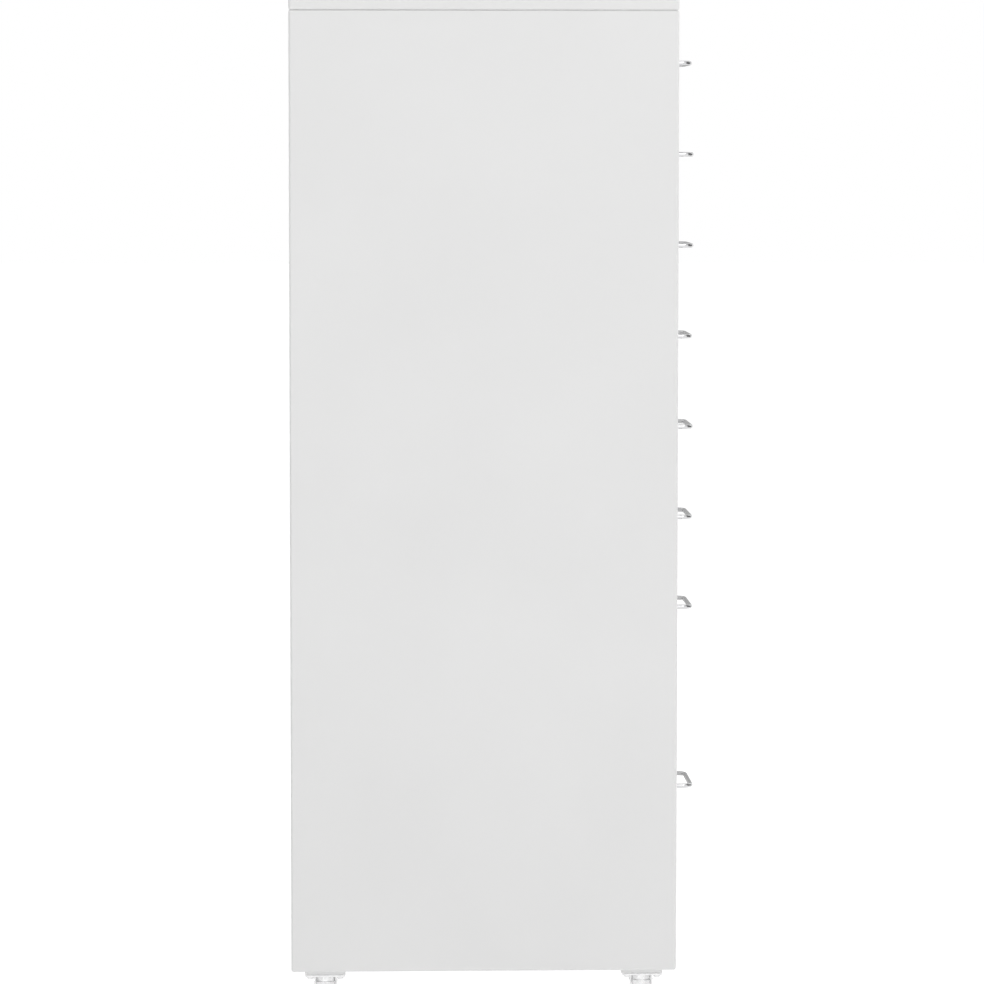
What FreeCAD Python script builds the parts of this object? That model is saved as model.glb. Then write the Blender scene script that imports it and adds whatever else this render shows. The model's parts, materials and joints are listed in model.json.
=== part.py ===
# A tall drawer cabinet on casters, one STEP file per separate piece.
# Millimetres. X is the width, -Y is the front with the handles, +Z is up and the floor is at Z = 0.

import math
import os

import FreeCAD
import Part

# Body
WIDTH = 280.0
DEPTH = 410.0
HEIGHT = 1090.0
SHEET = 0.8
PANEL_BEND = 2.6     # outer radius of the folds of side panels, lid and base pan
BEND = 1.5           # and of the smaller pieces
FLANGE = 15.0        # the side panels' edges fold in by this much
SILL = 5.0           # and their lower edges, behind the lip, by this much
FRONT_LIP = 12.0     # the front flange folds back again by this much
LID_HEIGHT = 18.0
LID_HEM = 11.0
PLINTH_HEIGHT = 38.5
TOP_GAP = 4.5        # from the lid's seam to the uppermost drawer's slot
PAN_WALL = 24.0
FIT = 0.2            # gap between pieces that slide together when assembled

# Drawers, top to bottom: how many pitches high each one is, and how far its front stands
# forward of the body's front plane at rest, because no drawer is shut exactly alike
DRAWER_UNITS = [1, 1, 1, 1, 1, 1, 1, 3]
DRAWER_STANDS_OUT = [-2.6, -0.2, 0.0, -1.2, 0.0, -0.4, 0.0, 1.3]
DRAWER_GAP = 3.0     # between two fronts
SIDE_GAP = 1.5       # beside a front
FRONT_THICK = 14.0
FRONT_HEM = 9.0
TRAY_SIDE_GAP = 7.5  # from the front opening's edge to the tray's wall
TRAY_LIFT = 5.0      # tray floor above the slot's lower edge
TRAY_HEADROOM = 26.5
TRAY_BACK_GAP = 12.0
TRAY_BEND = 1.2
STROKE = 300.0

# Runners
RAIL_THICK = 1.2
LEDGE_THICK = 1.0
LEDGE_DROP = 12.0    # height of the leg that lies on the upright
RUN_GAP = 0.3        # between a tray's lip and its ledge
LEDGE_SIDE_GAP = 0.7
UPRIGHT_WIDTH = 30.0
UPRIGHT_END_GAP = 6.0
LEDGE_START = 20.0   # behind the body's front plane
STOP_THICK = 1.0
STOP_HEIGHT = 6.0
STOP_WIDTH = 6.0
TAB_WIDTH = 4.0
TAB_HEIGHT = 8.0

# Handles
WIRE = 4.8
HANDLE_WIDTH = 96.0  # between the legs' centre lines
HANDLE_REACH = 23.5  # from the front's face to the outside of the wire
HANDLE_BEND = 10.0   # of the centre line
HOLE_CLEARANCE = 0.1
NUT_FLATS = 8.0
NUT_THICK = 3.2
THREAD_PAST_NUT = 1.5

# Casters
PAD_SIZE = 43.0
PAD_DROP = 4.2       # pressed down below the body's lower edge
PAD_BEND = 1.2
PAD_MARGIN = 2.3     # from the base pan's front wall to the pad
PLATE_THICK = 2.0
PLATE_CORNER = 4.0
BOLT_EDGE = 5.5      # from the plate's edge to a screw's axis
WHEEL_RADIUS = 19.0
WHEEL_WIDTH = 18.6
WHEEL_ROUND = 2.0
WHEEL_DISH = 1.6     # depth of the ring-shaped hollow in each side
TREAD_THICK = 5.3
HUB_RADIUS = 6.5
WHEEL_SIDE_GAP = 0.7
WHEEL_TOP_GAP = 1.5
TRAIL = 13.0
CUP_RADIUS = 13.0
CUP_HEIGHT = 7.9
CUP_WALL = 2.0
SWIVEL_GAP = 0.4     # between plate and cup
FORK_SHEET = 2.0
FORK_NECK = 4.9      # half width of a leg at the cup
FORK_BOSS = 7.0      # half width of a leg at the axle
KING_PIN_RADIUS = 4.0
KING_HEAD_RADIUS = 7.5
KING_HEAD_THICK = 2.5
RIVET_RADIUS = 6.0
RIVET_THICK = 2.0
AXLE_RADIUS = 2.5
AXLE_HEAD_RADIUS = 4.0
AXLE_HEAD_THICK = 1.2
RUNNING = 0.05       # radial clearance of a turning fit
PRESSED = 0.02       # radial clearance of a fixed pin
CASTER_TURN = {      # degrees that each caster is swung at rest, 0 is trailing to the back
    "front_left": -93.0,
    "front_right": 172.0,
    "rear_left": -87.0,
    "rear_right": 89.0,
}

# Screws
SCREW_RADIUS = 2.0
SCREW_HOLE_RADIUS = 2.15
SCREW_HEAD_RADIUS = 3.6
SCREW_HEAD_THICK = 2.4
SCREW_HEAD_ROUND = 0.9
RECESS_LONG = 1.8    # half sizes of the cross recess in a screw's head
RECESS_WIDE = 0.5
RECESS_DEPTH = 1.1
LID_SCREW_LENGTH = 6.0
LID_SCREW_INSET = 60.0
CASTER_SCREW_LENGTH = 8.0
SMALL_NUT_FLATS = 7.0
SMALL_NUT_THICK = 3.2

MARGIN = 1.0         # how far a cutting block reaches past what it cuts
TINY = 1e-4
UP = FreeCAD.Vector(0, 0, 1)

# Derived positions
HALF = WIDTH / 2
OPENING_HALF = HALF - FLANGE
FRONT_HALF = OPENING_HALF - SIDE_GAP
TRAY_HALF = OPENING_HALF - TRAY_SIDE_GAP
REACH_OUT = HANDLE_REACH + max(DRAWER_STANDS_OUT)
FRONT_Y = REACH_OUT - (DEPTH + REACH_OUT) / 2
BACK_Y = FRONT_Y + DEPTH
BACK_PANEL_Y = BACK_Y - 2 * SHEET
SEAM_Z = HEIGHT - LID_HEIGHT
CUP_BOTTOM_Z = 2 * WHEEL_RADIUS + WHEEL_TOP_GAP
CUP_TOP_Z = CUP_BOTTOM_Z + CUP_HEIGHT
PLATE_BOTTOM_Z = CUP_TOP_Z + SWIVEL_GAP
PLATE_TOP_Z = PLATE_BOTTOM_Z + PLATE_THICK
BODY_Z = PLATE_TOP_Z + PAD_DROP
PAN_Z = BODY_Z + SHEET
ZONE_TOP_Z = SEAM_Z - TOP_GAP
PITCH = (ZONE_TOP_Z - BODY_Z - PLINTH_HEIGHT) / sum(DRAWER_UNITS)
CASTER_X = HALF - SILL - FIT - PAD_SIZE / 2
CASTER_INSET = FRONT_LIP + FIT + PAD_MARGIN + PAD_SIZE / 2
TRAY_LENGTH = BACK_PANEL_Y - TRAY_BACK_GAP - (FRONT_Y + FRONT_THICK)
LIP_HALF = FRONT_HALF - FIT


def vec(x, y, z):
    return FreeCAD.Vector(x, y, z)


def block(x, y, z):
    """A box from three (low, high) pairs."""
    return Part.makeBox(x[1] - x[0], y[1] - y[0], z[1] - z[0], vec(x[0], y[0], z[0]))


def rounded(x, y, z, radius):
    box = block(x, y, z)
    return box.makeFillet(radius, box.Edges)


def inset(pair, by):
    return (pair[0] + by, pair[1] - by)


def folded(x, y, z, radius, openings):
    """Sheet metal folded to a hollow box with rounded edges, then opened where it is open."""
    outside = rounded(x, y, z, radius)
    inside = rounded(inset(x, SHEET), inset(y, SHEET), inset(z, SHEET), radius - SHEET)
    shape = outside.cut(inside)
    for opening in openings:
        shape = shape.cut(block(*opening))
    return shape


def rod(radius, start, end):
    line = end.sub(start)
    return Part.makeCylinder(radius, line.Length, start, line)


def hexagon(flats, thick, start, along):
    """A hexagonal prism standing on start."""
    side_axis = vec(1, 0, 0)
    other = along.cross(side_axis)
    corner = flats / math.sqrt(3)
    points = []
    for i in range(7):
        angle = math.radians(60 * i + 30)
        points.append(start + side_axis * (corner * math.cos(angle)) + other * (corner * math.sin(angle)))
    return Part.Face(Part.makePolygon(points)).extrude(along * thick)


def edges_at_height(shape, z):
    return [e for e in shape.Edges if abs(e.BoundBox.ZMin - z) < TINY and abs(e.BoundBox.ZMax - z) < TINY]


def mirrored(shape):
    return shape.mirror(vec(0, 0, 0), vec(1, 0, 0))


def save(shape, node):
    shape.exportStep("parts/" + node + ".step")


def save_group(shapes, node):
    save(Part.makeCompound(shapes), node)


def screw_holes(shape, points, length):
    for point in points:
        shape = shape.cut(rod(SCREW_HOLE_RADIUS, point, point + UP * length))
    return shape


def pan_head_screw(point, length):
    """An upright screw: its head hangs below point and its shank rises from it."""
    under = point - UP * SCREW_HEAD_THICK
    head = rod(SCREW_HEAD_RADIUS, under, point)
    head = head.makeFillet(SCREW_HEAD_ROUND, edges_at_height(head, under.z))
    for half_x, half_y in ((RECESS_LONG, RECESS_WIDE), (RECESS_WIDE, RECESS_LONG)):
        recess = block((point.x - half_x, point.x + half_x), (point.y - half_y, point.y + half_y),
                       (under.z - MARGIN, under.z + RECESS_DEPTH))
        head = head.cut(recess)
    return head.fuse(rod(SCREW_RADIUS, point, point + UP * length)).removeSplitter()


def lid_screw_points():
    x = HALF - FLANGE / 2
    points = []
    for side in (-1, 1):
        for y in (FRONT_Y + LID_SCREW_INSET, BACK_Y - LID_SCREW_INSET):
            points.append(vec(side * x, y, SEAM_Z - SHEET))
    return points


def caster_centres():
    return {
        "front_left": (-CASTER_X, FRONT_Y + CASTER_INSET),
        "front_right": (CASTER_X, FRONT_Y + CASTER_INSET),
        "rear_left": (-CASTER_X, BACK_Y - CASTER_INSET),
        "rear_right": (CASTER_X, BACK_Y - CASTER_INSET),
    }


def bolt_points(centre, z):
    half = PAD_SIZE / 2 - BOLT_EDGE
    return [vec(centre[0] + sx * half, centre[1] + sy * half, z) for sx in (-1, 1) for sy in (-1, 1)]


def drawer_slots():
    """For each drawer: its front plane's Y, its slot's lower and upper Z."""
    slots = []
    top = ZONE_TOP_Z
    for units, stands_out in zip(DRAWER_UNITS, DRAWER_STANDS_OUT):
        bottom = top - units * PITCH
        slots.append((FRONT_Y - stands_out, bottom, top))
        top = bottom
    return slots


def tray_top(slot):
    return slot[2] - TRAY_HEADROOM


def ledge_top(slot):
    return tray_top(slot) - SHEET - RUN_GAP


def make_side_panel():
    """The left one: a pan open to the inside, with a lip folded back behind its front flange."""
    y = (FRONT_Y, BACK_Y)
    z = (BODY_Z, SEAM_Z)
    lip_end = FRONT_Y + FRONT_LIP
    beyond = -OPENING_HALF + 3 * PANEL_BEND
    all_x = (-HALF - MARGIN, beyond + MARGIN)
    all_y = inset(y, -MARGIN)
    all_z = inset(z, -MARGIN)
    behind_lip = (all_x, (lip_end, all_y[1]), all_z)
    front_part = folded((-HALF, -OPENING_HALF), y, z, PANEL_BEND, [behind_lip])
    before_lip = (all_x, (all_y[0], lip_end), all_z)
    inner_side = ((-OPENING_HALF, all_x[1]), all_y, all_z)
    before_back = BACK_Y - 2 * PANEL_BEND
    past_sill = ((-HALF + SILL, beyond), (lip_end, before_back), (all_z[0], BODY_Z + 2 * SHEET))
    rear_part = folded((-HALF, beyond), y, z, PANEL_BEND, [before_lip, inner_side, past_sill])
    panel = front_part.fuse(rear_part).removeSplitter()
    points = [p for p in lid_screw_points() if p.x < 0]
    return screw_holes(panel, points, SHEET)


def make_lid():
    x = (-HALF, HALF)
    y = (FRONT_Y, BACK_Y)
    opening = (inset(x, LID_HEM), inset(y, LID_HEM), (SEAM_Z - MARGIN, SEAM_Z + 2 * PANEL_BEND))
    lid = folded(x, y, (SEAM_Z, HEIGHT), PANEL_BEND, [opening])
    points = [p + vec(0, 0, SHEET) for p in lid_screw_points()]
    return screw_holes(lid, points, SHEET)


def make_rail(z):
    """A cross rail between the side panels, open to the back."""
    x = (-OPENING_HALF + FIT, OPENING_HALF - FIT)
    y = (FRONT_Y, FRONT_Y + FRONT_LIP)
    hem = min(FRONT_HEM, (z[1] - z[0]) / 3)
    opening = (inset(x, FRONT_HEM), (y[1] - 2 * BEND, y[1] + MARGIN), inset(z, hem))
    return folded(x, y, z, BEND, [opening])


def make_back_panel():
    """It lies in the side panels behind their bends, and fills the height between their flanges."""
    clear_of_bends = PANEL_BEND + FIT
    y = (BACK_PANEL_Y, BACK_PANEL_Y + SHEET)
    z = (BODY_Z, SEAM_Z)
    wide = block(inset((-HALF, HALF), clear_of_bends), y, inset(z, clear_of_bends))
    tall = block(inset((-OPENING_HALF, OPENING_HALF), FIT), y, z)
    return wide.fuse(tall).removeSplitter()


def pad_recess(centre, depth_z):
    half = PAD_SIZE / 2
    x = (centre[0] - half + SHEET, centre[0] + half - SHEET)
    y = (centre[1] - half + SHEET, centre[1] + half - SHEET)
    return rounded(x, y, (depth_z + SHEET, PAN_Z + PAN_WALL), PAD_BEND - SHEET)


def make_base_pan():
    x = (-HALF + SHEET, HALF - SHEET)
    y = (FRONT_Y + FRONT_LIP + FIT, BACK_PANEL_Y)
    z = (PAN_Z, PAN_Z + PAN_WALL)
    opening = (inset(x, SHEET), inset(y, SHEET), (z[1] - 2 * PANEL_BEND, z[1] + MARGIN))
    pan = folded(x, y, z, PANEL_BEND, [opening])
    half = PAD_SIZE / 2
    for centre in caster_centres().values():
        pad_x = (centre[0] - half, centre[0] + half)
        pad_y = (centre[1] - half, centre[1] + half)
        pad = rounded(pad_x, pad_y, (PLATE_TOP_Z, z[1]), PAD_BEND)
        above = block(inset(pad_x, -MARGIN), inset(pad_y, -MARGIN), (PAN_Z + SHEET / 2, z[1]))
        pan = pan.fuse(pad.cut(above))
    for centre in caster_centres().values():
        pan = pan.cut(pad_recess(centre, PLATE_TOP_Z))
        floor = vec(centre[0], centre[1], PLATE_TOP_Z)
        pan = pan.cut(rod(RIVET_RADIUS + MARGIN, floor, floor + UP * 2 * SHEET))
        pan = screw_holes(pan, bolt_points(centre, PLATE_TOP_Z), 2 * SHEET)
    return pan.removeSplitter()


def make_runner_frame():
    """Two uprights on the left side panel with one ledge for each drawer."""
    wall = -HALF + SHEET
    inner = wall + RAIL_THICK
    edge = -TRAY_HALF - LEDGE_SIDE_GAP
    rearmost_tray = BACK_PANEL_Y - TRAY_BACK_GAP - min(DRAWER_STANDS_OUT)
    start = FRONT_Y + LEDGE_START
    end = rearmost_tray + 2 * RUN_GAP + STOP_THICK
    upright_z = (PAN_Z + PAN_WALL + UPRIGHT_END_GAP, SEAM_Z - UPRIGHT_END_GAP)
    frame = block((wall, inner), (start, start + UPRIGHT_WIDTH), upright_z)
    frame = frame.fuse(block((wall, inner), (end - UPRIGHT_WIDTH, end), upright_z))
    for slot in drawer_slots():
        top = ledge_top(slot)
        frame = frame.fuse(block((wall, edge), (start, end), (top - LEDGE_THICK, top)))
        frame = frame.fuse(block((wall, inner), (start, end), (top - LEDGE_DROP, top)))
        front_stop = block((edge - STOP_WIDTH, edge), (start, start + STOP_THICK),
                           (top - LEDGE_THICK - STOP_HEIGHT, top))
        back_stop = block((edge - STOP_WIDTH, edge), (end - STOP_THICK, end),
                          (top - LEDGE_THICK, top + STOP_HEIGHT))
        frame = frame.fuse(front_stop).fuse(back_stop)
    return frame.removeSplitter()


def handle_leg_points(slot):
    z = (slot[1] + slot[2]) / 2
    return [vec(side * HANDLE_WIDTH / 2, slot[0], z) for side in (-1, 1)]


def pierce_for_handle(shape, slot, sheet_y):
    """Two holes through the sheet whose front face is at sheet_y."""
    for point in handle_leg_points(slot):
        start = vec(point.x, sheet_y - MARGIN, point.z)
        end = vec(point.x, sheet_y + SHEET + MARGIN, point.z)
        shape = shape.cut(rod(WIRE / 2 + HOLE_CLEARANCE, start, end))
    return shape


def make_front(slot):
    x = (-FRONT_HALF, FRONT_HALF)
    y = (slot[0], slot[0] + FRONT_THICK)
    z = (slot[1] + DRAWER_GAP / 2, slot[2] - DRAWER_GAP / 2)
    opening = (inset(x, FRONT_HEM), (y[1] - 2 * BEND, y[1] + MARGIN), inset(z, FRONT_HEM))
    front = folded(x, y, z, BEND, [opening])
    return pierce_for_handle(front, slot, y[0])


def make_tray(slot):
    x = (-TRAY_HALF, TRAY_HALF)
    y_front = slot[0] + FRONT_THICK
    y = (y_front, y_front + TRAY_LENGTH)
    z = (slot[1] + TRAY_LIFT, tray_top(slot))
    opening = (inset(x, SHEET), inset(y, SHEET), (z[1] - 2 * TRAY_BEND, z[1] + MARGIN))
    tray = folded(x, y, z, TRAY_BEND, [opening])
    under_ledge = ledge_top(slot) - LEDGE_THICK - 2 * RUN_GAP
    stop_back = FRONT_Y + LEDGE_START + STOP_THICK
    stands_out = FRONT_Y - slot[0]
    tab_y = stop_back + STROKE + 2 * RUN_GAP + max(DRAWER_STANDS_OUT) - stands_out
    lip = block((-LIP_HALF, -TRAY_HALF + SHEET), (y[0] + LEDGE_START, y[1]), (z[1] - SHEET, z[1]))
    tab = block((-TRAY_HALF - TAB_WIDTH, -TRAY_HALF + SHEET), (tab_y, tab_y + STOP_THICK),
                (under_ledge - TAB_HEIGHT, under_ledge))
    for piece in (lip, tab, mirrored(lip), mirrored(tab)):
        tray = tray.fuse(piece)
    tray = pierce_for_handle(tray, slot, y[0])
    return tray.removeSplitter()


def make_handle(slot):
    """One rod bent to a bow, its threaded ends pass through the front and the tray's wall."""
    left, right = handle_leg_points(slot)
    bar_y = slot[0] - HANDLE_REACH + WIRE / 2
    end_y = slot[0] + FRONT_THICK + SHEET + NUT_THICK + THREAD_PAST_NUT
    z = left.z
    r = HANDLE_BEND
    k = r * (1 - math.sqrt(0.5))
    leg_left = Part.makeLine(vec(left.x, end_y, z), vec(left.x, bar_y + r, z))
    arc_left = Part.Arc(vec(left.x, bar_y + r, z), vec(left.x + k, bar_y + k, z),
                        vec(left.x + r, bar_y, z)).toShape()
    bar = Part.makeLine(vec(left.x + r, bar_y, z), vec(right.x - r, bar_y, z))
    arc_right = Part.Arc(vec(right.x - r, bar_y, z), vec(right.x - k, bar_y + k, z),
                         vec(right.x, bar_y + r, z)).toShape()
    leg_right = Part.makeLine(vec(right.x, bar_y + r, z), vec(right.x, end_y, z))
    path = Part.Wire([leg_left, arc_left, bar, arc_right, leg_right])
    profile = Part.Wire([Part.makeCircle(WIRE / 2, vec(left.x, end_y, z), vec(0, -1, 0))])
    return path.makePipeShell([profile], True, False)


def make_handle_nuts(slot):
    nuts = []
    for point in handle_leg_points(slot):
        start = vec(point.x, slot[0] + FRONT_THICK + SHEET, point.z)
        along = vec(0, 1, 0)
        nut = hexagon(NUT_FLATS, NUT_THICK, start, along)
        nuts.append(nut.cut(rod(WIRE / 2 + PRESSED, start, start + along * NUT_THICK)))
    return nuts


def make_plate(centre):
    half = PAD_SIZE / 2
    x = (centre[0] - half, centre[0] + half)
    y = (centre[1] - half, centre[1] + half)
    plate = block(x, y, (PLATE_BOTTOM_Z, PLATE_TOP_Z))
    corners = [e for e in plate.Edges if abs(e.Length - PLATE_THICK) < TINY]
    plate = plate.makeFillet(PLATE_CORNER, corners)
    plate = screw_holes(plate, bolt_points(centre, PLATE_BOTTOM_Z), PLATE_THICK)
    axis = vec(centre[0], centre[1], 0)
    head_top = CUP_TOP_Z - FORK_SHEET - RUN_GAP
    head_bottom = head_top - KING_HEAD_THICK
    shaft = rod(KING_PIN_RADIUS, axis + vec(0, 0, head_bottom), axis + vec(0, 0, PLATE_TOP_Z))
    head = rod(KING_HEAD_RADIUS, axis + vec(0, 0, head_bottom), axis + vec(0, 0, head_top))
    rivet_top = PLATE_TOP_Z + RIVET_THICK
    rivet = rod(RIVET_RADIUS, axis + vec(0, 0, PLATE_TOP_Z), axis + vec(0, 0, rivet_top))
    return plate.fuse([shaft, head, rivet]).removeSplitter()


def placed(shape, centre, turn):
    """From the caster's own axes, trailing to +Y, to its place under the body."""
    shape.rotate(vec(0, 0, 0), vec(0, 0, 1), turn)
    shape.translate(vec(centre[0], centre[1], 0))
    return shape


def make_fork():
    cup = rod(CUP_RADIUS, vec(0, 0, CUP_BOTTOM_Z), vec(0, 0, CUP_TOP_Z))
    cup = cup.makeFillet(BEND, edges_at_height(cup, CUP_TOP_Z))
    hollow_top = CUP_TOP_Z - FORK_SHEET
    below = vec(0, 0, CUP_BOTTOM_Z - MARGIN)
    cup = cup.cut(rod(CUP_RADIUS - CUP_WALL, below, vec(0, 0, hollow_top)))
    cup = cup.cut(rod(KING_PIN_RADIUS + RUNNING, below, vec(0, 0, CUP_TOP_Z + MARGIN)))
    inner = WHEEL_WIDTH / 2 + WHEEL_SIDE_GAP
    boss = FORK_BOSS
    axle_z = WHEEL_RADIUS
    outline = [
        (-FORK_NECK, hollow_top),
        (FORK_NECK, hollow_top),
        (TRAIL + boss, axle_z + boss),
        (TRAIL + boss, axle_z),
        (TRAIL, axle_z - boss),
        (TRAIL - boss, axle_z),
        (-boss, CUP_BOTTOM_Z - boss / 2),
        (-FORK_NECK, hollow_top),
    ]
    fork = cup
    for side in (-1, 1):
        x = min(side * inner, side * (inner + FORK_SHEET))
        points = [vec(x, y, z) for y, z in outline]
        leg = Part.Face(Part.makePolygon(points)).extrude(vec(FORK_SHEET, 0, 0))
        fork = fork.fuse(leg)
    start = vec(-CUP_RADIUS, TRAIL, axle_z)
    fork = fork.cut(rod(AXLE_RADIUS + PRESSED, start, start + vec(2 * CUP_RADIUS, 0, 0)))
    return fork.removeSplitter()


def make_wheel():
    start = vec(-WHEEL_WIDTH / 2, TRAIL, WHEEL_RADIUS)
    along = vec(WHEEL_WIDTH, 0, 0)
    wheel = rod(WHEEL_RADIUS, start, start + along)
    rims = [e for e in wheel.Edges if e.Length > WHEEL_RADIUS * math.pi]
    wheel = wheel.makeFillet(WHEEL_ROUND, rims)
    dish_depth = vec(WHEEL_DISH, 0, 0)
    for face, inward in ((start, dish_depth), (start + along, dish_depth * -1)):
        dish = rod(WHEEL_RADIUS - TREAD_THICK, face, face + inward)
        hub = rod(HUB_RADIUS, face, face + inward)
        wheel = wheel.cut(dish.cut(hub))
    return wheel.cut(rod(AXLE_RADIUS + RUNNING, start, start + along))


def make_axle():
    outside = WHEEL_WIDTH / 2 + WHEEL_SIDE_GAP + FORK_SHEET
    start = vec(-outside, TRAIL, WHEEL_RADIUS)
    end = vec(outside, TRAIL, WHEEL_RADIUS)
    head = vec(AXLE_HEAD_THICK, 0, 0)
    heads = [rod(AXLE_HEAD_RADIUS, start - head, start), rod(AXLE_HEAD_RADIUS, end, end + head)]
    return rod(AXLE_RADIUS, start, end).fuse(heads).removeSplitter()


def make_caster_nut(point):
    start = vec(point.x, point.y, PLATE_TOP_Z + SHEET)
    nut = hexagon(SMALL_NUT_FLATS, SMALL_NUT_THICK, start, UP)
    return nut.cut(rod(SCREW_RADIUS + PRESSED, start, start + UP * SMALL_NUT_THICK))


os.makedirs("parts", exist_ok=True)

side = make_side_panel()
save(side, "side_panel_left")
save(mirrored(side), "side_panel_right")
save(make_back_panel(), "back_panel")
save(make_lid(), "lid")
save(make_rail((ZONE_TOP_Z, SEAM_Z)), "top_rail")
save(make_rail((BODY_Z, BODY_Z + PLINTH_HEIGHT)), "plinth_rail")
save(make_base_pan(), "base_pan")

runners = make_runner_frame()
save(runners, "runner_frame_left")
save(mirrored(runners), "runner_frame_right")

save_group([pan_head_screw(p, LID_SCREW_LENGTH) for p in lid_screw_points()], "lid_screws")

for number, slot in enumerate(drawer_slots(), start=1):
    drawer = "drawer_%d_" % number
    save(make_front(slot), drawer + "front")
    save(make_tray(slot), drawer + "tray")
    save(make_handle(slot), drawer + "handle")
    save_group(make_handle_nuts(slot), drawer + "nuts")

caster_screws = []
caster_nuts = []
for name, centre in caster_centres().items():
    turn = CASTER_TURN[name]
    save(make_plate(centre), "caster_" + name + "_plate")
    save(placed(make_fork(), centre, turn), "caster_" + name + "_fork")
    save(placed(make_wheel(), centre, turn), "caster_" + name + "_wheel")
    save(placed(make_axle(), centre, turn), "caster_" + name + "_axle")
    for point in bolt_points(centre, PLATE_BOTTOM_Z):
        caster_screws.append(pan_head_screw(point, CASTER_SCREW_LENGTH))
        caster_nuts.append(make_caster_nut(point))
save_group(caster_screws, "caster_screws")
save_group(caster_nuts, "caster_nuts")
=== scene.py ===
# The looks of a tall steel drawer cabinet on casters: materials, light, floor and camera.
# Metres. The front with the handles faces -Y, the picture shows the side that faces -X.

import json
import math

import bmesh
import bpy
from mathutils import Matrix, Vector, geometry


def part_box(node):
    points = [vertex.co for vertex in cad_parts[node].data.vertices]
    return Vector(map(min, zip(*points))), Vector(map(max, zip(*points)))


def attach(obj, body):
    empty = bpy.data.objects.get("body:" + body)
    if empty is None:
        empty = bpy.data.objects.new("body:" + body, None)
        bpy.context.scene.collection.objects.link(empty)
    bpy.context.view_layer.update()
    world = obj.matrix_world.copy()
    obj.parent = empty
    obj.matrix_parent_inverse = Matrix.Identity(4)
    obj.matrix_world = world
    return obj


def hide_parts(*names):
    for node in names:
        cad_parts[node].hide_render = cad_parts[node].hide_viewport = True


# Camera: level with the second drawer, a few metres off the left side
CAMERA_DISTANCE = 4.6
CAMERA_Y = 0.1566
CAMERA_HEIGHT = 0.93
AIM_Y = 0.0041
AIM_HEIGHT = 0.5660
CAMERA_ROLL = 0.017      # degrees
FOCAL_LENGTH = 160.0     # millimetres
SENSOR_WIDTH = 36.0      # millimetres
VIEW_LIMIT = 100.0

# Lamps: place, power in watts, and two sizes as width and height
SIDE_PLACE = (-2.2, -0.5, 3.0)
SIDE_POWER = 35.0
LOW_PLACE = (-2.6, 0.0, 0.26)
LOW_POWER = 6.5
FRONT_PLACE = (0.7, -3.6, 2.5)
FRONT_POWER = 50.0
BACK_PLACE = (2.6, 2.6, 1.3)
BACK_POWER = 36.0
PANEL_SIZE = (2.6, 2.2)
STRIP_SIZE = (2.6, 0.4)
BODY_MIDDLE = (0.0, 0.0, 0.55)
PAD_HEIGHT = 0.10        # the low lamp points at the left panel's lower edge

# Surroundings. The camera sees a floor that glows and shows its shadows only faintly, while the
# part is lit by a floor of its own tone, with some fill light for the underside.
WORLD_LEVEL = 0.40
BACKDROP_LEVEL = 1.0
FLOOR_HALF = 30.0
FLOOR_TONE = 0.80
FLOOR_FILL = 0.34
FLOOR_GLOW = 0.92
FLOOR_SHADE = 0.30

# Upright curved cards on four sides, which only mirror-like surfaces show: the middle of each in
# degrees from the right side, and how bright it is
CARDS = {
    "right": (0.0, 0.46),
    "rear": (90.0, 0.25),
    "left": (180.0, 1.45),
    "front": (270.0, 0.24),
}
CARD_DISTANCE = 1.4
CARD_TOP = 2.3
CARD_BOTTOM = 0.02
CARD_SPREAD = 50.0       # degrees that each card takes
CARD_STEPS = 12

# Handles
DRAWER_COUNT = 8
BEND_RADIUS = 0.010
BEND_STEPS = 14
WIRE_SIDES = 32
END_CHAMFER = 0.0005

# Wheels
WHEEL_RADIUS = 0.019
WHEEL_WIDTH = 0.0186
TREAD_INNER = 0.0137
TREAD_SINK = 0.0004      # the tread's inner edges lie this far inside its sides
TREAD_CROWN = 0.0006     # its outer edges are this much lower than its middle
TREAD_FLAT = 0.62        # share of the width that is flat
TREAD_STEPS = 96
CORE_FIT = 0.0001        # between tread and core
CORE_DISH = 0.0030       # depth of the ring-shaped hollow between hub and rim
CORE_DRAFT = 0.0004      # hub and rim are this much thicker at the hollow's bottom
CORE_STEPS = 72
HUB_RADIUS = 0.0060
AXLE_HOLE = 0.0026
RIM_WALL = 0.0014
RIM_SINK = 0.0007
RIB_COUNT = 8
RIB_START = 0.0061
RIB_END_GAP = 0.0011     # from a rib's end to the core's outer face
RIB_THICK = 0.0012
RIB_SINK = 0.0013
RIB_BEVEL = 0.0002

# Forks
CUP_RADIUS = 0.013
CUP_TOP = 0.0474
CUP_BOTTOM = 0.0395
CUP_WALL = 0.0018
CUP_HOLE = 0.0041
CUP_TAPER = 0.0001       # the cup is this much narrower at its top
CUP_STEPS = 80
LIP_WIDTH = 0.0007       # the lip around the cup's lower edge
LIP_HEIGHT = 0.0012
APRON_INSET = 0.0005
APRON_OVERLAP = 0.001
APRON_DROP = 0.0075
APRON_SPREAD = 56.0      # degrees to each side of straight ahead
APRON_CURVE = 0.6        # the smaller, the squarer the web's lower edge
APRON_STEPS = 24
APRON_ROWS = 6
LEG_SHEET = 0.002
LEG_GAP = 0.0007         # between wheel and leg
LEG_TOP = 0.0085         # half width of a leg inside the cup
LEG_BEVEL = 0.0005
LEG_BEVEL_STEPS = 3
BOSS_RADIUS = 0.007
BOSS_STEPS = 32

# Where the two edges of a leg leave the cup: how far from the swivel's axis and below the cup
LEG_AHEAD = (0.0080, 0.003)
LEG_BEHIND = (0.0095, 0.001)

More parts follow.
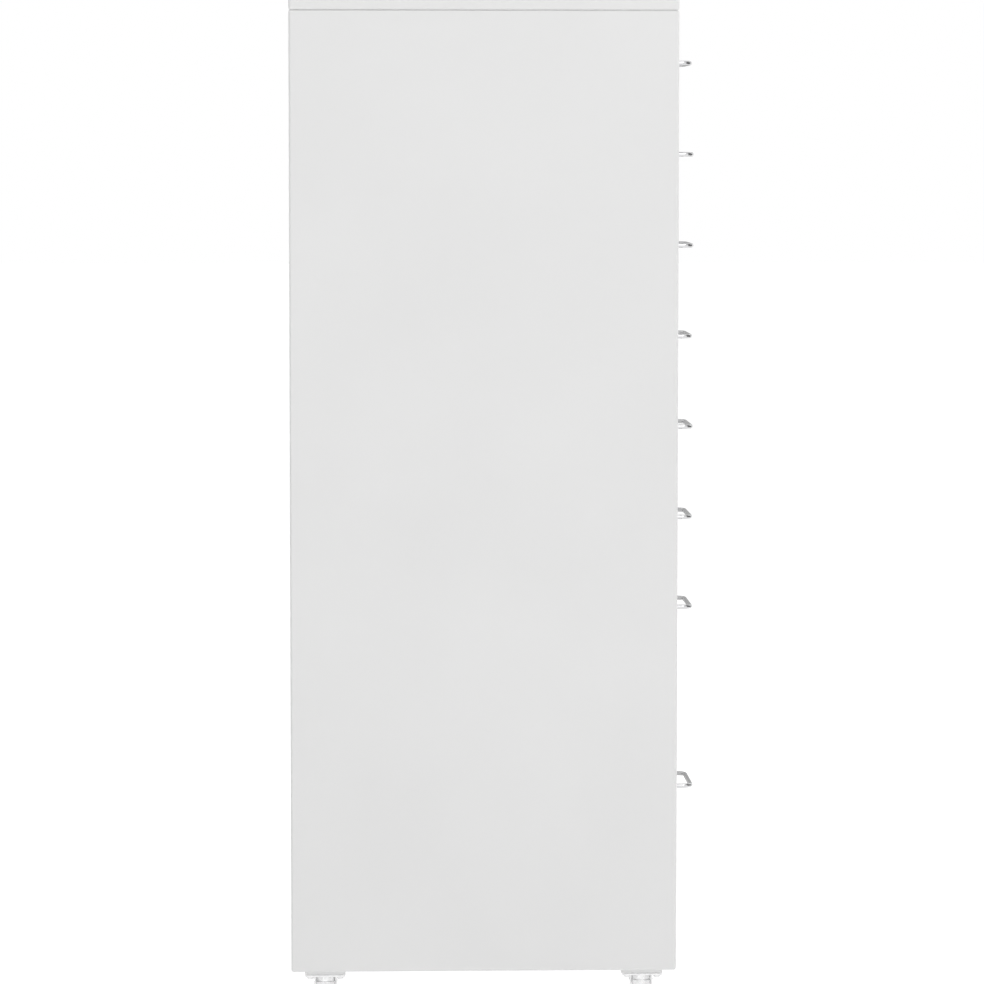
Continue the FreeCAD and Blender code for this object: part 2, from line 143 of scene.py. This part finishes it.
# Rounded corners
CROWN_ROUND = 0.0020
SHOULDER_ROUND = 0.0012
INSIDE_ROUND = 0.0010
ROOT_ROUND = 0.0006
CORE_ROUND = 0.0005
LIP_ROUND = 0.0004
EDGE_ROUND = 0.0003
HOLE_ROUND = 0.0002
ROUND_STEPS = 5
CREASE = 38.0            # edges sharper than this many degrees stay crisp

# Colours, where there are two the darker one first
PAINT = (0.785, 0.785, 0.783)
GALVANISED = ((0.42, 0.43, 0.44), (0.56, 0.57, 0.58))
BRIGHT_ZINC = ((0.66, 0.66, 0.665), (0.78, 0.78, 0.78))
CHROME = ((0.60, 0.60, 0.61), (0.66, 0.66, 0.665))
TREAD_GREY = ((0.27, 0.27, 0.275), (0.33, 0.33, 0.335))
CORE_GREY = ((0.028, 0.028, 0.030), (0.045, 0.045, 0.047))
CLOUD_DARK = 0.985       # the paint's faint clouds, as shares of its colour
CLOUD_LIGHT = 1.012
ROUGHNESS_SPREAD = 0.06  # to each side of a material's roughness

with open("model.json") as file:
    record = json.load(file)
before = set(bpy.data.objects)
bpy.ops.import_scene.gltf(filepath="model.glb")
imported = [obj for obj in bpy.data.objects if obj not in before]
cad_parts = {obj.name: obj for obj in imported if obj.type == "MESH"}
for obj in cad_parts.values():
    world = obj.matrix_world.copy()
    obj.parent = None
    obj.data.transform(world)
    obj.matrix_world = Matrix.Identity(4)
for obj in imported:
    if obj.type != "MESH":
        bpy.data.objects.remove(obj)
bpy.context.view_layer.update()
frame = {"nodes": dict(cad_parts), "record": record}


def nodes_ending(*endings):
    return [name for name in frame["nodes"] if name.endswith(endings)]


# Materials

def start_material(name):
    material = bpy.data.materials.new(name)
    material.use_nodes = True
    tree = material.node_tree
    shader = tree.nodes["Principled BSDF"]
    coordinates = tree.nodes.new("ShaderNodeTexCoord")
    return material, tree, shader, coordinates.outputs["Object"]


def noise(tree, vector, scale):
    node = tree.nodes.new("ShaderNodeTexNoise")
    node.inputs["Scale"].default_value = scale
    node.inputs["Detail"].default_value = 2.0
    node.inputs["Roughness"].default_value = 0.5
    tree.links.new(vector, node.inputs["Vector"])
    return node.outputs["Fac"]


def spread(tree, value, low, high, from_low=0.3, from_high=0.7):
    node = tree.nodes.new("ShaderNodeMapRange")
    node.inputs["From Min"].default_value = from_low
    node.inputs["From Max"].default_value = from_high
    node.inputs["To Min"].default_value = low
    node.inputs["To Max"].default_value = high
    tree.links.new(value, node.inputs["Value"])
    return node.outputs["Result"]


def two_colours(tree, value, dark, light):
    node = tree.nodes.new("ShaderNodeMix")
    node.data_type = "RGBA"
    node.inputs[6].default_value = (*dark, 1.0)
    node.inputs[7].default_value = (*light, 1.0)
    tree.links.new(value, node.inputs[0])
    return node.outputs[2]


def bump(tree, height, strength, distance, below=None):
    node = tree.nodes.new("ShaderNodeBump")
    node.inputs["Strength"].default_value = strength
    node.inputs["Distance"].default_value = distance
    tree.links.new(height, node.inputs["Height"])
    if below is not None:
        tree.links.new(below, node.inputs["Normal"])
    return node.outputs["Normal"]


def scaled(colour, factor):
    return tuple(channel * factor for channel in colour)


def powder_coat(name, colour):
    """Faintly clouded, with a fine peel under shallow waves."""
    material, tree, shader, place = start_material(name)
    cloud = spread(tree, noise(tree, place, scale=5.0), low=0.0, high=1.0)
    tone = two_colours(tree, cloud, scaled(colour, CLOUD_DARK), scaled(colour, CLOUD_LIGHT))
    tree.links.new(tone, shader.inputs["Base Color"])
    sheen = spread(tree, noise(tree, place, scale=60.0), low=0.36, high=0.44)
    tree.links.new(sheen, shader.inputs["Roughness"])
    peel = bump(tree, noise(tree, place, scale=700.0), strength=0.25, distance=0.00006)
    waves = bump(tree, noise(tree, place, scale=14.0), strength=0.3, distance=0.0002, below=peel)
    tree.links.new(waves, shader.inputs["Normal"])
    return material


def chrome(name, colours):
    """Polished, with a light haze."""
    material, tree, shader, place = start_material(name)
    shader.inputs["Metallic"].default_value = 1.0
    haze = spread(tree, noise(tree, place, scale=90.0), low=0.0, high=1.0)
    tree.links.new(two_colours(tree, haze, *colours), shader.inputs["Base Color"])
    sheen = spread(tree, noise(tree, place, scale=240.0), low=0.03, high=0.07)
    tree.links.new(sheen, shader.inputs["Roughness"])
    dimples = bump(tree, noise(tree, place, scale=350.0), strength=0.15, distance=0.00003)
    tree.links.new(dimples, shader.inputs["Normal"])
    return material


def zinc(name, colours, roughness):
    """A metal coat with small crystals."""
    material, tree, shader, place = start_material(name)
    shader.inputs["Metallic"].default_value = 1.0
    crystals = tree.nodes.new("ShaderNodeTexVoronoi")
    crystals.inputs["Scale"].default_value = 260.0
    tree.links.new(place, crystals.inputs["Vector"])
    tone = spread(tree, crystals.outputs["Distance"], low=0.0, high=1.0, from_low=0.0, from_high=0.9)
    tree.links.new(two_colours(tree, tone, *colours), shader.inputs["Base Color"])
    patches = noise(tree, place, scale=120.0)
    sheen = spread(tree, patches, roughness - ROUGHNESS_SPREAD, roughness + ROUGHNESS_SPREAD)
    tree.links.new(sheen, shader.inputs["Roughness"])
    grain = bump(tree, noise(tree, place, scale=900.0), strength=0.3, distance=0.00004)
    tree.links.new(grain, shader.inputs["Normal"])
    return material


def moulded(name, colours, roughness):
    """Rubber or plastic with a fine grain."""
    material, tree, shader, place = start_material(name)
    tone = spread(tree, noise(tree, place, scale=55.0), low=0.0, high=1.0)
    tree.links.new(two_colours(tree, tone, *colours), shader.inputs["Base Color"])
    patches = noise(tree, place, scale=180.0)
    sheen = spread(tree, patches, roughness - ROUGHNESS_SPREAD, roughness + ROUGHNESS_SPREAD)
    tree.links.new(sheen, shader.inputs["Roughness"])
    grain = bump(tree, noise(tree, place, scale=1400.0), strength=0.35, distance=0.00005)
    tree.links.new(grain, shader.inputs["Normal"])
    return material


def give(names, material):
    for name in names:
        node = frame["nodes"][name]
        node.data.materials.clear()
        node.data.materials.append(material)


paint = powder_coat("white_powder_coat", PAINT)
body_pieces = ["side_panel_left", "side_panel_right", "back_panel", "lid", "top_rail", "plinth_rail",
               "base_pan"]
give(body_pieces, paint)
give(nodes_ending("_front", "_tray"), paint)
galvanised = zinc("galvanised_sheet", GALVANISED, roughness=0.42)
give(nodes_ending("runner_frame_left", "runner_frame_right"), galvanised)


# Pieces made here

def new_piece(name, mesh, material, body, replaced):
    piece = bpy.data.objects.new(name, mesh)
    bpy.context.scene.collection.objects.link(piece)
    mesh.materials.clear()
    mesh.materials.append(material)
    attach(piece, body)
    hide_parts(replaced)
    return piece


def finished(name, work, place=None):
    """The mesh of a bmesh, moved to its place, smooth but with crisp edges."""
    bmesh.ops.recalc_face_normals(work, faces=work.faces)
    if place is not None:
        work.transform(place)
    mesh = bpy.data.meshes.new(name)
    work.to_mesh(mesh)
    work.free()
    mesh.shade_smooth()
    mesh.set_sharp_from_angle(angle=math.radians(CREASE))
    return mesh


def bridge(work, rings, closed=False):
    """Quads between each ring of vertices and the next."""
    pairs = list(zip(rings, rings[1:]))
    if closed:
        pairs.append((rings[-1], rings[0]))
    for first, second in pairs:
        count = len(first)
        for i in range(count):
            j = (i + 1) % count
            work.faces.new((first[i], first[j], second[j], second[i]))


def sweep(work, path, radii):
    """A round bar along a path that lies in a level plane, closed at both ends."""
    rings = []
    up = Vector((0, 0, 1))
    for i, (point, radius) in enumerate(zip(path, radii)):
        before = path[max(i - 1, 0)]
        after = path[min(i + 1, len(path) - 1)]
        across = up.cross((after - before).normalized())
        ring = []
        for k in range(WIRE_SIDES):
            angle = 2 * math.pi * k / WIRE_SIDES
            ring.append(work.verts.new(point + radius * (math.cos(angle) * across + math.sin(angle) * up)))
        rings.append(ring)
    bridge(work, rings)
    work.faces.new(rings[0])
    work.faces.new(list(reversed(rings[-1])))


def bow_path(low, high, radius):
    """From one threaded end round the bow to the other."""
    z = (low[2] + high[2]) / 2
    bar_y = low[1] + radius
    right = high[0] - radius
    points = [Vector((right, high[1], z)), Vector((right, high[1] - END_CHAMFER, z))]
    for i in range(BEND_STEPS + 1):
        angle = math.pi / 2 * i / BEND_STEPS
        points.append(Vector((right - BEND_RADIUS + BEND_RADIUS * math.cos(angle),
                              bar_y + BEND_RADIUS - BEND_RADIUS * math.sin(angle), z)))
    return points + [Vector((-p.x, p.y, p.z)) for p in reversed(points)]


def make_handle(number, material):
    node = "drawer_%d_handle" % number
    low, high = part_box(node)
    radius = (high[2] - low[2]) / 2
    path = bow_path(low, high, radius)
    radii = [radius] * len(path)
    radii[0] = radii[-1] = radius - END_CHAMFER
    work = bmesh.new()
    sweep(work, path, radii)
    new_piece("drawer_%d_bow" % number, finished(node, work), material, "drawer_%d" % number,
              node)


def lathe(work, profile, steps):
    """Turns a closed outline of (radius, height) points around Z."""
    rings = []
    for radius, height in profile:
        ring = []
        for k in range(steps):
            angle = 2 * math.pi * k / steps
            ring.append(work.verts.new((radius * math.cos(angle), radius * math.sin(angle), height)))
        rings.append(ring)
    bridge(work, rings, closed=True)


def rounded_profile(corners):
    """Rounds off each (radius, height, rounding) corner of a closed outline."""
    outline = []
    count = len(corners)
    for i, (r, h, rounding) in enumerate(corners):
        corner = Vector((r, h))
        to_last = (Vector(corners[i - 1][:2]) - corner).normalized() * rounding
        to_next = (Vector(corners[(i + 1) % count][:2]) - corner).normalized() * rounding
        for k in range(ROUND_STEPS + 1):
            t = k / ROUND_STEPS
            point = corner + to_last * (1 - t) ** 2 + to_next * t ** 2
            outline.append((point.x, point.y))
    return outline


def both_sides(corners):
    """The corners of a wheel's one side, followed by those of the other."""
    return corners + [(r, -h, rounding) for r, h, rounding in reversed(corners)]


def tread_mesh(name, place):
    half = WHEEL_WIDTH / 2
    outline = rounded_profile(both_sides([
        (TREAD_INNER, -half + TREAD_SINK, EDGE_ROUND),
        (WHEEL_RADIUS - TREAD_CROWN, -half, SHOULDER_ROUND),
        (WHEEL_RADIUS, -half * TREAD_FLAT, CROWN_ROUND),
    ]))
    work = bmesh.new()
    lathe(work, outline, TREAD_STEPS)
    return finished(name, work, place)


def rib(work, length, middle, height, turn):
    """One upright rib between a wheel's hub and rim."""
    size = Matrix.Diagonal((length, RIB_THICK, height, 1.0))
    place = turn @ Matrix.Translation((middle, 0, 0)) @ size
    corners = bmesh.ops.create_cube(work, size=1.0)["verts"]
    bmesh.ops.transform(work, verts=corners, matrix=place)
    edges = list({edge for corner in corners for edge in corner.link_edges})
    bmesh.ops.bevel(work, geom=edges, offset=RIB_BEVEL, segments=2, affect="EDGES")


def core_mesh(name, place):
    half = WHEEL_WIDTH / 2
    dish = half - CORE_DISH
    rim = TREAD_INNER - CORE_FIT
    outline = rounded_profile(both_sides([
        (AXLE_HOLE, -half, HOLE_ROUND),
        (HUB_RADIUS, -half, CORE_ROUND),
        (HUB_RADIUS + CORE_DRAFT, -dish, CORE_ROUND),
        (rim - RIM_WALL - CORE_DRAFT, -dish, CORE_ROUND),
        (rim - RIM_WALL, -half + RIM_SINK, EDGE_ROUND),
        (rim, -half + RIM_SINK, EDGE_ROUND),
    ]))
    work = bmesh.new()
    lathe(work, outline, CORE_STEPS)
    rib_end = rim - RIB_END_GAP
    for k in range(RIB_COUNT):
        turn = Matrix.Rotation(2 * math.pi * k / RIB_COUNT, 4, "Z")
        rib(work, rib_end - RIB_START, (RIB_START + rib_end) / 2, 2 * (half - RIB_SINK), turn)
    return finished(name, work, place)


def leg_outline(trail):
    """From the cup down to the boss around the axle, seen from the side."""
    points = [Vector((-LEG_TOP, CUP_TOP - LEG_SHEET)), Vector((LEG_TOP, CUP_TOP - LEG_SHEET)),
              Vector((-LEG_AHEAD[0], CUP_BOTTOM - LEG_AHEAD[1])),
              Vector((LEG_BEHIND[0], CUP_BOTTOM - LEG_BEHIND[1]))]
    for k in range(BOSS_STEPS):
        angle = 2 * math.pi * k / BOSS_STEPS
        points.append(Vector((trail + BOSS_RADIUS * math.cos(angle),
                              WHEEL_RADIUS + BOSS_RADIUS * math.sin(angle))))
    return [points[i] for i in geometry.convex_hull_2d(points)]


def add_leg(work, side, trail):
    """One of the fork's legs, on the side -1 or 1 of the wheel."""
    inner = WHEEL_WIDTH / 2 + LEG_GAP
    ring = [work.verts.new((side * inner, p.x, p.y)) for p in leg_outline(trail)]
    face = work.faces.new(ring)
    grown = bmesh.ops.extrude_face_region(work, geom=[face])["geom"]
    moved = [g for g in grown if isinstance(g, bmesh.types.BMVert)]
    bmesh.ops.translate(work, verts=moved, vec=(side * LEG_SHEET, 0, 0))
    flats = [f for f in {f for v in ring + moved for f in v.link_faces} if len(f.verts) > 4]
    edges = list({e for f in flats for e in f.edges})
    bmesh.ops.bevel(work, geom=edges, offset=LEG_BEVEL, segments=LEG_BEVEL_STEPS, affect="EDGES")


def apron(work):
    """The pressed web that reaches down from the cup in front of the wheel."""
    top = CUP_BOTTOM + APRON_OVERLAP
    outside = CUP_RADIUS - APRON_INSET
    sheets = []
    for radius in (outside, outside - CUP_WALL):
        sheet = []
        for i in range(APRON_STEPS + 1):
            t = 2 * i / APRON_STEPS - 1
            angle = math.radians(-90 + APRON_SPREAD * t)
            low = CUP_BOTTOM - APRON_DROP * (1 - t * t) ** APRON_CURVE
            column = []
            for k in range(APRON_ROWS + 1):
                height = top + (low - top) * k / APRON_ROWS
                column.append(work.verts.new((radius * math.cos(angle), radius * math.sin(angle), height)))
            sheet.append(column)
        sheets.append(sheet)
    outer, inner = sheets
    for i in range(APRON_STEPS):
        for k in range(APRON_ROWS):
            work.faces.new((outer[i][k], outer[i + 1][k], outer[i + 1][k + 1], outer[i][k + 1]))
            work.faces.new((inner[i][k], inner[i][k + 1], inner[i + 1][k + 1], inner[i + 1][k]))
        for k in (0, APRON_ROWS):
            work.faces.new((outer[i][k], inner[i][k], inner[i + 1][k], outer[i + 1][k]))
    for i in (0, APRON_STEPS):
        for k in range(APRON_ROWS):
            work.faces.new((outer[i][k], outer[i][k + 1], inner[i][k + 1], inner[i][k]))


def fork_mesh(name, place, trail):
    work = bmesh.new()
    apron(work)
    above_lip = CUP_RADIUS - LIP_WIDTH
    cup = rounded_profile([
        (CUP_HOLE, CUP_TOP, HOLE_ROUND),
        (above_lip - CUP_TAPER, CUP_TOP, CROWN_ROUND),
        (above_lip, CUP_BOTTOM + LIP_HEIGHT + LIP_WIDTH, ROOT_ROUND),
        (CUP_RADIUS, CUP_BOTTOM + LIP_HEIGHT, LIP_ROUND),
        (CUP_RADIUS, CUP_BOTTOM, LIP_ROUND),
        (above_lip - CUP_WALL, CUP_BOTTOM, LIP_ROUND),
        (above_lip - CUP_TAPER - CUP_WALL, CUP_TOP - CUP_WALL, INSIDE_ROUND),
        (CUP_HOLE, CUP_TOP - CUP_WALL, HOLE_ROUND),
    ])
    lathe(work, cup, CUP_STEPS)
    for side in (-1, 1):
        add_leg(work, side, trail)
    return finished(name, work, place)


def make_caster(name, zinc_material, tread_material, core_material):
    joints = {joint["name"]: joint for joint in frame["record"]["behaviour"]["joints"]}
    swivel = Vector(joints[name + "_swivel"]["pos_m"])
    spin = Vector(joints[name + "_spin"]["pos_m"])
    trail = Vector((spin.x - swivel.x, spin.y - swivel.y, 0))
    turn = Matrix.Rotation(math.atan2(-trail.x, trail.y), 4, "Z")
    below = Matrix.Translation((swivel.x, swivel.y, 0)) @ turn
    hub = Matrix.Translation(spin) @ turn @ Matrix.Rotation(math.pi / 2, 4, "Y")
    wheel_body = name.replace("caster_", "wheel_")
    new_piece(name + "_yoke", fork_mesh(name + "_yoke", below, trail.length), zinc_material, name,
              name + "_fork")
    new_piece(name + "_tread", tread_mesh(name + "_tread", hub), tread_material, wheel_body,
              name + "_wheel")
    new_piece(name + "_core", core_mesh(name + "_core", hub), core_material, wheel_body,
              name + "_wheel")


chrome_plate = chrome("chrome_plate", CHROME)
for number in range(1, DRAWER_COUNT + 1):
    make_handle(number, chrome_plate)
bright_zinc = zinc("bright_zinc", BRIGHT_ZINC, roughness=0.26)
give(nodes_ending("_plate", "_axle", "_screws", "_nuts"), bright_zinc)
tread_rubber = moulded("tread_rubber", TREAD_GREY, roughness=0.55)
wheel_core = moulded("wheel_core", CORE_GREY, roughness=0.42)
for corner in ("front_left", "front_right", "rear_left", "rear_right"):
    make_caster("caster_" + corner, bright_zinc, tread_rubber, wheel_core)


# Floor and surroundings

def grey(level):
    return (level, level, level, 1.0)


def bare_material(name):
    """A material whose surface is still open."""
    material = bpy.data.materials.new(name)
    material.use_nodes = True
    tree = material.node_tree
    tree.nodes.remove(tree.nodes["Principled BSDF"])
    return material, tree


def matt(tree, tone):
    node = tree.nodes.new("ShaderNodeBsdfDiffuse")
    node.inputs["Color"].default_value = grey(tone)
    return node.outputs[0]


def glow(tree, strength):
    node = tree.nodes.new("ShaderNodeEmission")
    node.inputs["Strength"].default_value = strength
    return node.outputs[0]


def together(tree, first, second):
    node = tree.nodes.new("ShaderNodeAddShader")
    tree.links.new(first, node.inputs[0])
    tree.links.new(second, node.inputs[1])
    return node.outputs[0]


def either(tree, first, second):
    """1 where at least one of the two values is 1."""
    node = tree.nodes.new("ShaderNodeMath")
    node.operation = "MAXIMUM"
    tree.links.new(first, node.inputs[0])
    tree.links.new(second, node.inputs[1])
    return node.outputs[0]


def white_to_the_eye(tree, plain_shader, shown_shader):
    """Camera, mirror and see-through rays meet shown_shader, all others plain_shader."""
    path = tree.nodes.new("ShaderNodeLightPath")
    seen = either(tree, path.outputs["Is Camera Ray"], path.outputs["Is Glossy Ray"])
    seen = either(tree, seen, path.outputs["Is Transmission Ray"])
    mix = tree.nodes.new("ShaderNodeMixShader")
    tree.links.new(seen, mix.inputs[0])
    tree.links.new(plain_shader, mix.inputs[1])
    tree.links.new(shown_shader, mix.inputs[2])
    return mix.outputs[0]


def make_floor():
    corners = [(x * FLOOR_HALF, y * FLOOR_HALF, 0) for x, y in ((-1, -1), (1, -1), (1, 1), (-1, 1))]
    mesh = bpy.data.meshes.new("floor")
    mesh.from_pydata(corners, [], [(0, 1, 2, 3)])
    floor = bpy.data.objects.new("floor", mesh)
    bpy.context.scene.collection.objects.link(floor)
    material, tree = bare_material("pale_floor")
    plain = together(tree, matt(tree, FLOOR_TONE), glow(tree, FLOOR_FILL))
    shown = together(tree, matt(tree, FLOOR_SHADE), glow(tree, FLOOR_GLOW))
    surface = white_to_the_eye(tree, plain, shown)
    tree.links.new(surface, tree.nodes["Material Output"].inputs["Surface"])
    mesh.materials.append(material)


def make_world():
    world = bpy.data.worlds.new("studio")
    bpy.context.scene.world = world
    world.use_nodes = True
    tree = world.node_tree
    plain = tree.nodes["Background"]
    plain.inputs["Strength"].default_value = WORLD_LEVEL
    plain.inputs["Color"].default_value = grey(1.0)
    shown = tree.nodes.new("ShaderNodeBackground")
    shown.inputs["Strength"].default_value = BACKDROP_LEVEL
    shown.inputs["Color"].default_value = grey(1.0)
    surface = white_to_the_eye(tree, plain.outputs[0], shown.outputs[0])
    tree.links.new(surface, tree.nodes["World Output"].inputs["Surface"])


def card_mesh(name, middle_angle):
    """An upright sheet, bent round the part."""
    work = bmesh.new()
    rails = []
    for height in (CARD_BOTTOM, CARD_TOP):
        rail = []
        for k in range(CARD_STEPS + 1):
            angle = math.radians(middle_angle + CARD_SPREAD * (k / CARD_STEPS - 0.5))
            rail.append(work.verts.new((CARD_DISTANCE * math.cos(angle),
                                        CARD_DISTANCE * math.sin(angle), height)))
        rails.append(rail)
    for k in range(CARD_STEPS):
        work.faces.new((rails[0][k], rails[0][k + 1], rails[1][k + 1], rails[1][k]))
    mesh = bpy.data.meshes.new(name)
    work.to_mesh(mesh)
    work.free()
    return mesh


def make_card(name, middle_angle, brightness):
    material, tree = bare_material(name)
    tree.links.new(glow(tree, brightness), tree.nodes["Material Output"].inputs["Surface"])
    mesh = card_mesh(name, middle_angle)
    mesh.materials.append(material)
    card = bpy.data.objects.new(name, mesh)
    bpy.context.scene.collection.objects.link(card)
    card.visible_camera = False
    card.visible_diffuse = False
    card.visible_shadow = False
    card.visible_transmission = False


def area_light(name, place, aim, size, power):
    data = bpy.data.lights.new(name, "AREA")
    data.shape = "RECTANGLE"
    data.size = size[0]
    data.size_y = size[1]
    data.energy = power
    light = bpy.data.objects.new(name, data)
    bpy.context.scene.collection.objects.link(light)
    light.visible_camera = False
    light.location = place
    light.rotation_euler = (Vector(aim) - Vector(place)).to_track_quat("-Z", "Y").to_euler()


def make_camera(panel_x):
    place = Vector((panel_x - CAMERA_DISTANCE, CAMERA_Y, CAMERA_HEIGHT))
    aim = Vector((panel_x, AIM_Y, AIM_HEIGHT))
    data = bpy.data.cameras.new("camera")
    data.lens = FOCAL_LENGTH
    data.sensor_width = SENSOR_WIDTH
    data.clip_end = VIEW_LIMIT
    camera = bpy.data.objects.new("camera", data)
    bpy.context.scene.collection.objects.link(camera)
    turn = (aim - place).to_track_quat("-Z", "Y").to_matrix().to_4x4()
    roll = Matrix.Rotation(math.radians(CAMERA_ROLL), 4, "Z")
    camera.matrix_world = Matrix.Translation(place) @ turn @ roll
    bpy.context.scene.camera = camera


panel_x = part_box("side_panel_left")[0][0]
make_floor()
make_world()
area_light("side", SIDE_PLACE, BODY_MIDDLE, PANEL_SIZE, SIDE_POWER)
area_light("low", LOW_PLACE, (panel_x, 0.0, PAD_HEIGHT), STRIP_SIZE, LOW_POWER)
area_light("front", FRONT_PLACE, BODY_MIDDLE, PANEL_SIZE, FRONT_POWER)
area_light("back", BACK_PLACE, BODY_MIDDLE, PANEL_SIZE, BACK_POWER)
for side, (middle_angle, brightness) in CARDS.items():
    make_card("dark_card_" + side, middle_angle, brightness)
make_camera(panel_x)

bpy.context.scene.view_settings.view_transform = "Standard"
